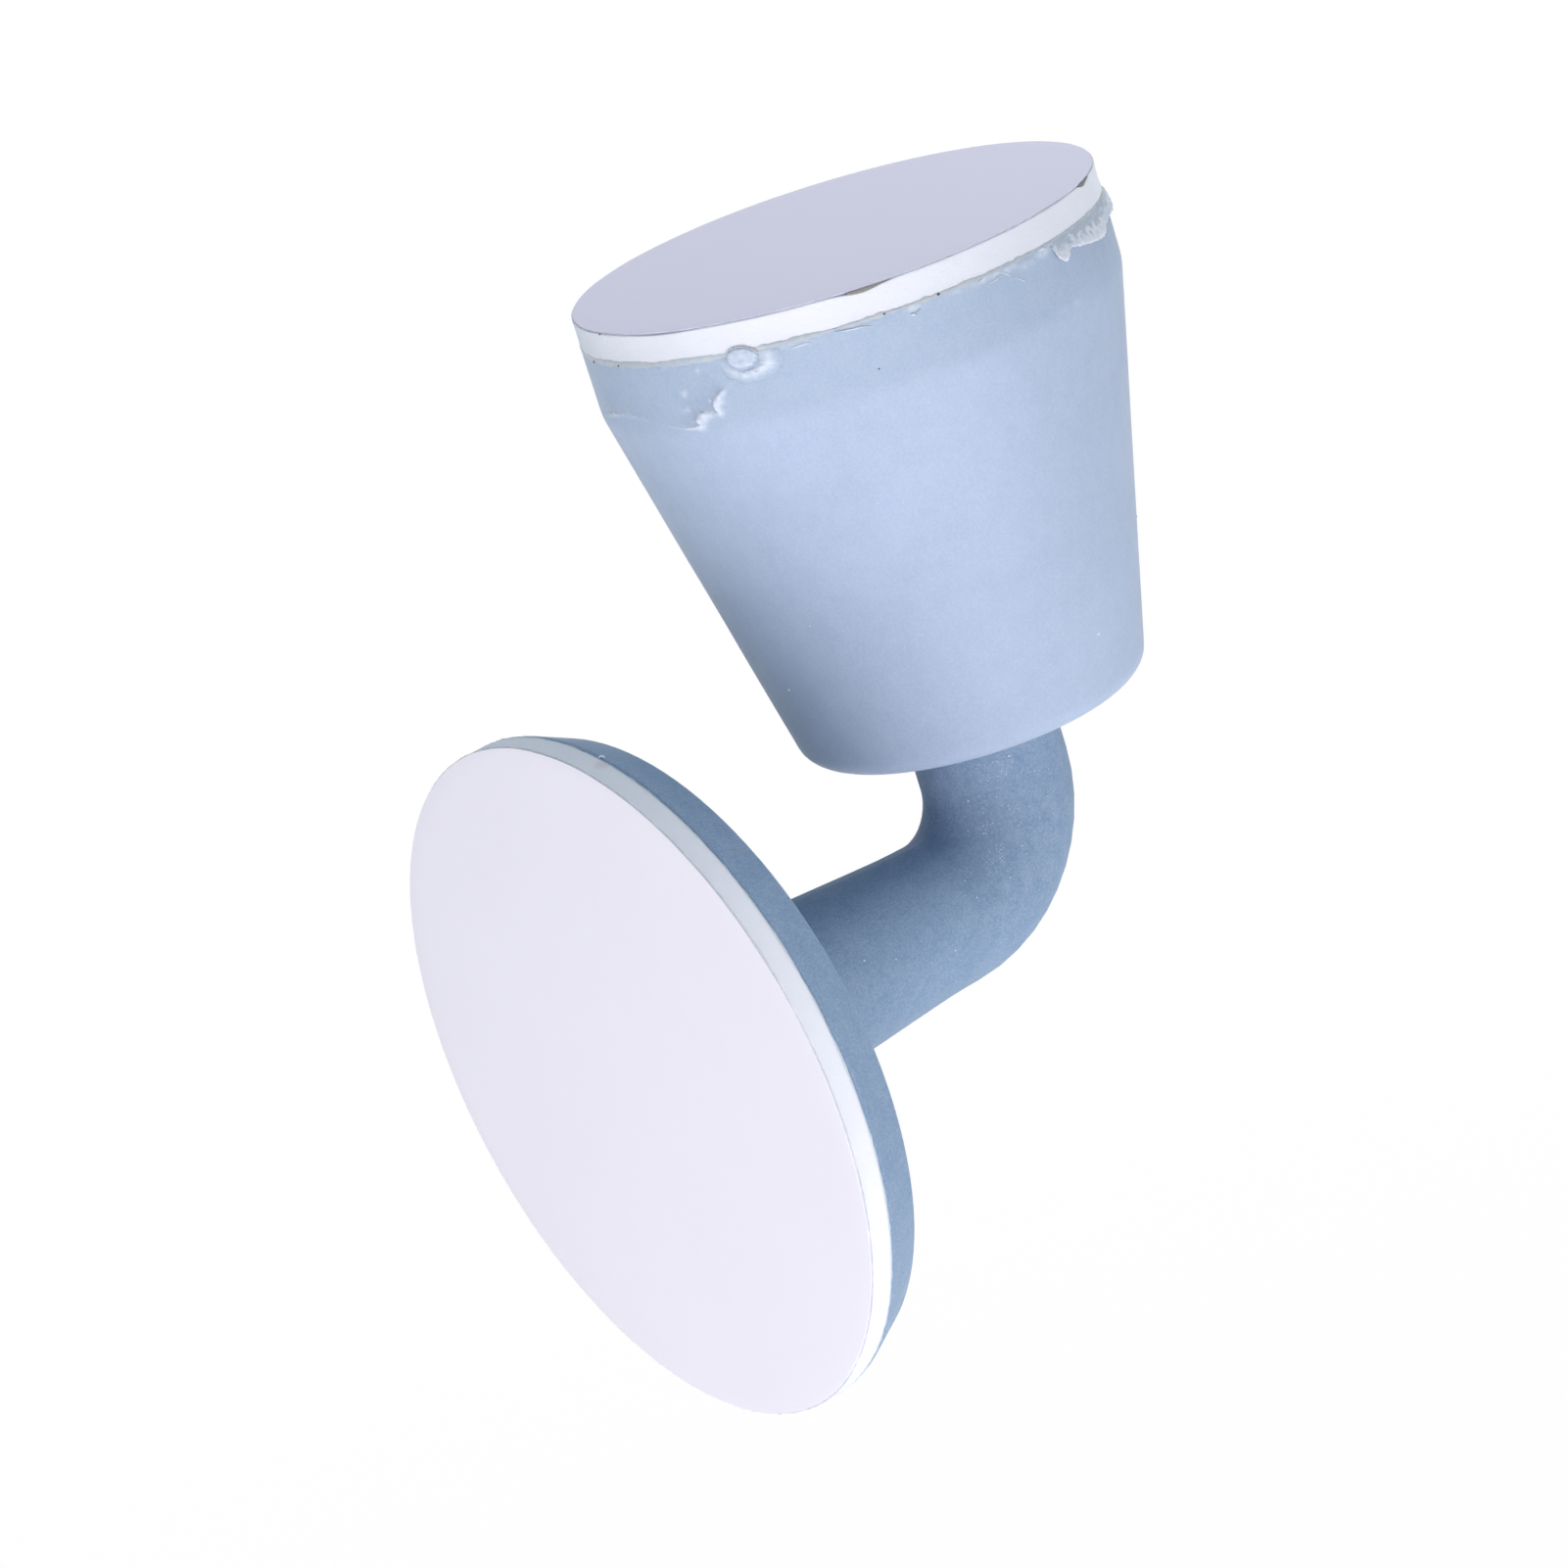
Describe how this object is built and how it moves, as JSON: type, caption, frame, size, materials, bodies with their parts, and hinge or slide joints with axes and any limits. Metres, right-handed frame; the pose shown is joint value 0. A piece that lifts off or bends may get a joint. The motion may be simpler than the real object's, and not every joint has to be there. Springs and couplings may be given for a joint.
{
  "type": "door handle wall protector",
  "caption": "Soft silicone door stop: a round adhesive base carries a tapered elbow arm whose end is pushed into a cone-shaped bumper with its own adhesive pad.",
  "frame": {"origin": "centre of the base's release film, on its outer face, which lies against the wall or door", "axes": "+X out of the wall along the arm, +Z along the bumper's axis towards its adhesive face, +Y completes the set"},
  "size_m": [0.0542, 0.05, 0.0726],
  "materials": {
    "silicone": "matte",
    "foam": "matte",
    "release_film": "satin"
  },
  "bodies": {
    "root": {"elbow_arm": "silicone", "cone_bumper": "silicone", "base_foam_pad": "foam", "base_release_film": "release_film", "bumper_foam_pad": "foam", "bumper_release_film": "release_film"}
  },
  "joints": []
}
